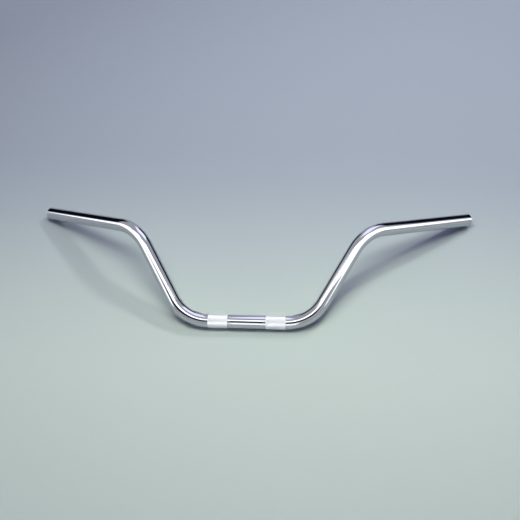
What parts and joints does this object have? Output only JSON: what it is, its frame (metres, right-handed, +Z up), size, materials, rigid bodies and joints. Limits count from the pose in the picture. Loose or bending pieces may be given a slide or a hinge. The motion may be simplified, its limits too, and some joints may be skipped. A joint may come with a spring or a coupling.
{
  "type": "motorcycle handlebar",
  "caption": "Chromed steel touring handlebar bent from round tube, with a straight knurled clamp section, rising bends and swept-back grip ends.",
  "frame": {"origin": "middle of the straight clamp section, on the tube's axis, with the bar lying on a table", "axes": "+X along the clamp section, +Y towards the grip ends, +Z up from the table"},
  "size_m": [0.7568, 0.2432, 0.0877],
  "materials": {
    "chrome": "mirror-bright chrome plating, satin white where the clamp bands are knurled"
  },
  "bodies": {
    "root": {"handlebar": "chrome"}
  },
  "joints": []
}
